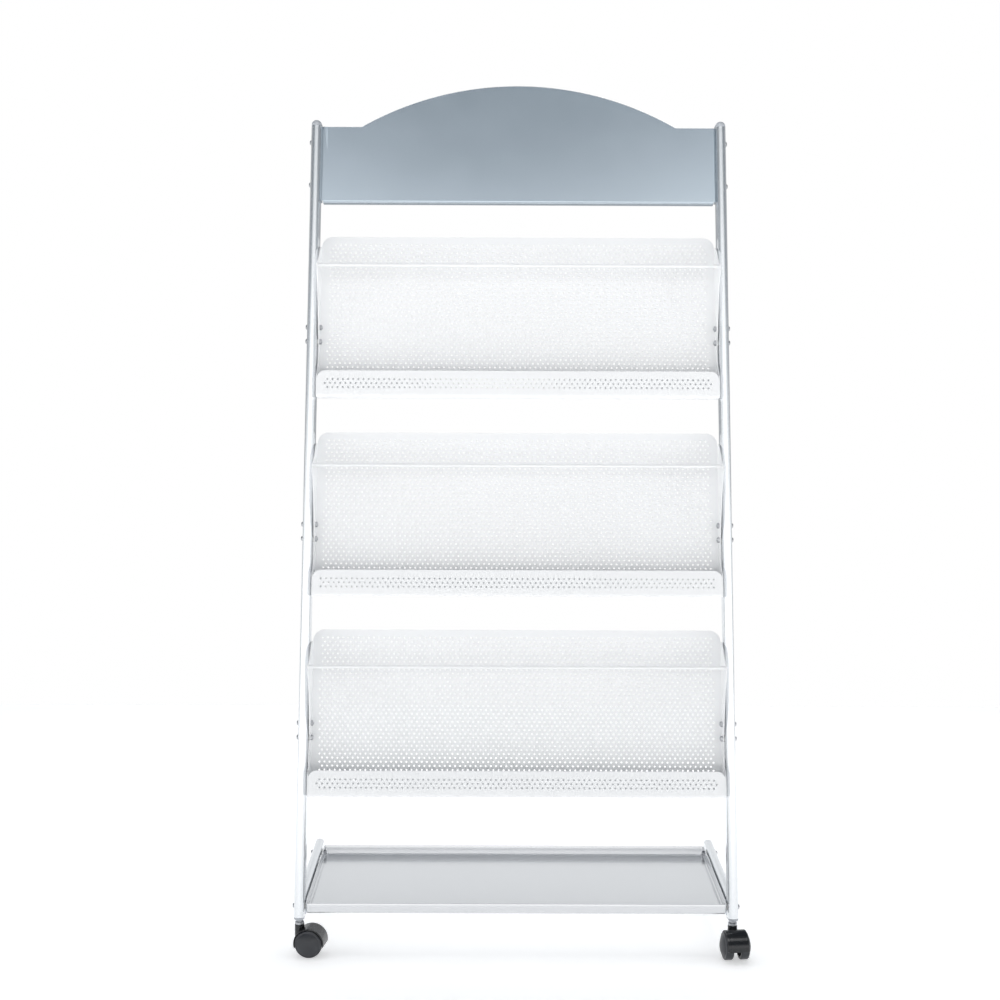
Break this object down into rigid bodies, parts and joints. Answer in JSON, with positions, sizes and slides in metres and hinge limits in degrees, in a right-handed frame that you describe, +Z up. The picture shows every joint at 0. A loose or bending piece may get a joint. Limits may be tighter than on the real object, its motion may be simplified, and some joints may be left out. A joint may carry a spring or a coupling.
{
  "type": "newspaper rack",
  "caption": "Mobile newspaper and magazine rack: leaning side tubes, arched header board, perforated pockets with front wires, a bottom tray and swivel casters.",
  "frame": {"origin": "middle of the object's bounding box on the floor plane, on the rack's plane of symmetry", "axes": "+Z up, +X to the right of a reader who faces the rack, +Y away from the reader"},
  "size_m": [0.6648, 0.3418, 1.2625],
  "materials": {
    "silver_tube": "satin silver-grey powder coat",
    "silver_cap": "satin",
    "silver_sheet": "satin silver-grey powder coat",
    "white_sheet": "satin white powder coat",
    "white_wire": "satin white powder coat",
    "grey_sheet": "satin light grey powder coat",
    "white_washer": "matte",
    "zinc": "zinc plated",
    "black_plastic": "satin",
    "black_wheel": "satin"
  },
  "bodies": {
    "rack": {"bottom_tray": "grey_sheet", "front_left_caster_stem": "zinc", "front_right_caster_stem": "zinc", "header_nuts": "zinc", "header_panel": "silver_sheet", "header_screws": "zinc", "left_base_rail": "silver_tube", "left_foot_plug": "silver_cap", "left_leg_cap": "silver_cap", "left_leg_tube": "silver_tube", "left_rail_cap": "silver_cap", "left_rear_caster_socket": "black_plastic", "lower_pocket_front_wire": "white_wire", "lower_pocket_left_end_plate": "white_sheet", "lower_pocket_nuts": "zinc", "lower_pocket_perforated_sheet": "white_sheet", "lower_pocket_right_end_plate": "white_sheet", "lower_pocket_screws": "zinc", "lower_pocket_washers": "white_washer", "middle_pocket_front_wire": "white_wire", "middle_pocket_left_end_plate": "white_sheet", "middle_pocket_nuts": "zinc", "middle_pocket_perforated_sheet": "white_sheet", "middle_pocket_right_end_plate": "white_sheet", "middle_pocket_screws": "zinc", "middle_pocket_washers": "white_washer", "rear_left_caster_stem": "zinc", "rear_right_caster_stem": "zinc", "right_base_rail": "silver_tube", "right_foot_plug": "silver_cap", "right_leg_cap": "silver_cap", "right_leg_tube": "silver_tube", "right_rail_cap": "silver_cap", "right_rear_caster_socket": "black_plastic", "tray_nuts": "zinc", "tray_screws": "zinc", "tray_spacers": "white_washer", "upper_pocket_front_wire": "white_wire", "upper_pocket_left_end_plate": "white_sheet", "upper_pocket_nuts": "zinc", "upper_pocket_perforated_sheet": "white_sheet", "upper_pocket_right_end_plate": "white_sheet", "upper_pocket_screws": "zinc", "upper_pocket_washers": "white_washer"},
    "front_left_caster_swivel": {"front_left_caster_body": "black_plastic", "front_left_caster_axle": "zinc"},
    "front_left_wheel_a": {"front_left_caster_wheel_a": "black_wheel"},
    "front_left_wheel_b": {"front_left_caster_wheel_b": "black_wheel"},
    "front_right_caster_swivel": {"front_right_caster_body": "black_plastic", "front_right_caster_axle": "zinc"},
    "front_right_wheel_a": {"front_right_caster_wheel_a": "black_wheel"},
    "front_right_wheel_b": {"front_right_caster_wheel_b": "black_wheel"},
    "rear_left_caster_swivel": {"rear_left_caster_body": "black_plastic", "rear_left_caster_axle": "zinc"},
    "rear_left_wheel_a": {"rear_left_caster_wheel_a": "black_wheel"},
    "rear_left_wheel_b": {"rear_left_caster_wheel_b": "black_wheel"},
    "rear_right_caster_swivel": {"rear_right_caster_body": "black_plastic", "rear_right_caster_axle": "zinc"},
    "rear_right_wheel_a": {"rear_right_caster_wheel_a": "black_wheel"},
    "rear_right_wheel_b": {"rear_right_caster_wheel_b": "black_wheel"}
  },
  "joints": [
    {"name": "front_left_caster_turn", "type": "hinge", "parent": "rack", "child": "front_left_caster_swivel", "pos_m": [-0.315, -0.1295, 0.04], "axis": [0, 0, 1], "continuous": true},
    {"name": "front_left_wheel_a_roll", "type": "hinge", "parent": "front_left_caster_swivel", "child": "front_left_wheel_a", "pos_m": [-0.30046, -0.14316, 0.02], "axis": [0.1392, 0.9903, 0], "continuous": true},
    {"name": "front_left_wheel_b_roll", "type": "hinge", "parent": "front_left_caster_swivel", "child": "front_left_wheel_b", "pos_m": [-0.29726, -0.12038, 0.02], "axis": [0.1392, 0.9903, 0], "continuous": true},
    {"name": "front_right_caster_turn", "type": "hinge", "parent": "rack", "child": "front_right_caster_swivel", "pos_m": [0.315, -0.1295, 0.04], "axis": [0, 0, 1], "continuous": true},
    {"name": "front_right_wheel_a_roll", "type": "hinge", "parent": "front_right_caster_swivel", "child": "front_right_wheel_a", "pos_m": [0.30557, -0.14708, 0.02], "axis": [0.9925, 0.1219, 0], "continuous": true},
    {"name": "front_right_wheel_b_roll", "type": "hinge", "parent": "front_right_caster_swivel", "child": "front_right_wheel_b", "pos_m": [0.3284, -0.14428, 0.02], "axis": [0.9925, 0.1219, 0], "continuous": true},
    {"name": "rear_left_caster_turn", "type": "hinge", "parent": "rack", "child": "rear_left_caster_swivel", "pos_m": [-0.315, 0.1485, 0.04], "axis": [0, 0, 1], "continuous": true},
    {"name": "rear_left_wheel_a_roll", "type": "hinge", "parent": "rear_left_caster_swivel", "child": "rear_left_wheel_a", "pos_m": [-0.29812, 0.13787, 0.02], "axis": [-0.0523, 0.9986, 0], "continuous": true},
    {"name": "rear_left_wheel_b_roll", "type": "hinge", "parent": "rear_left_caster_swivel", "child": "rear_left_wheel_b", "pos_m": [-0.29932, 0.16084, 0.02], "axis": [-0.0523, 0.9986, 0], "continuous": true},
    {"name": "rear_right_caster_turn", "type": "hinge", "parent": "rack", "child": "rear_right_caster_swivel", "pos_m": [0.315, 0.1485, 0.04], "axis": [0, 0, 1], "continuous": true},
    {"name": "rear_right_wheel_a_roll", "type": "hinge", "parent": "rear_right_caster_swivel", "child": "rear_right_wheel_a", "pos_m": [0.29954, 0.16111, 0.02], "axis": [-0.0698, -0.9976, 0], "continuous": true},
    {"name": "rear_right_wheel_b_roll", "type": "hinge", "parent": "rear_right_caster_swivel", "child": "rear_right_wheel_b", "pos_m": [0.29794, 0.13817, 0.02], "axis": [-0.0698, -0.9976, 0], "continuous": true}
  ]
}
